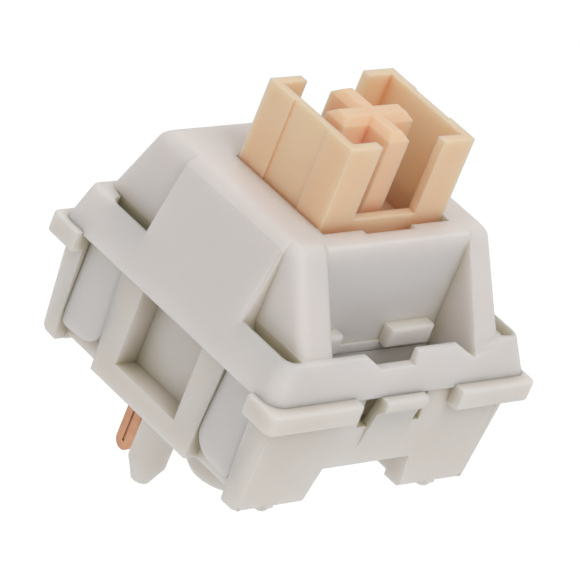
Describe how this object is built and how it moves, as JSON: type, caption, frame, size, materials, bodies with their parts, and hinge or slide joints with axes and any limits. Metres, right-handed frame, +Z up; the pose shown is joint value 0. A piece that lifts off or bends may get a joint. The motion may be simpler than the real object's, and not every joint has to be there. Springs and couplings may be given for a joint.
{
  "type": "mechanical keyboard switch",
  "caption": "Keyboard switch: sloped clip-together housing, spring-returned stem with a keycap cross between two dust walls, and posts and contact pins for a circuit board.",
  "frame": {"origin": "on the centre post's axis, in the plane of the circuit board that the four standoff nubs touch", "axes": "+Z up, the way the stem stands; +X right; -Y the side with the lamp slot"},
  "size_m": [0.0156, 0.0156, 0.0188],
  "materials": {
    "base_plastic": "satin moulded, slightly translucent",
    "roof_plastic": "satin moulded, slightly translucent",
    "stem_plastic": "satin moulded, slightly translucent",
    "spring_steel": "drawn wire",
    "contact_copper": "rolled and stamped copper alloy",
    "contact_gold": "polished contact metal"
  },
  "bodies": {
    "housing": {"bottom_housing": "base_plastic", "top_housing": "roof_plastic", "fixed_contact": "contact_copper", "moving_contact": "contact_copper", "fixed_contact_point": "contact_gold", "moving_contact_point": "contact_gold", "return_spring": "spring_steel"},
    "slider": {"stem": "stem_plastic"}
  },
  "joints": [
    {"name": "stem_travel", "type": "slide", "parent": "housing", "child": "slider", "axis": [0, 0, -1], "range_m": [0, 0.004], "stiffness_N_per_m": 70, "springref_m": -0.0045, "deforming": ["return_spring"]}
  ]
}
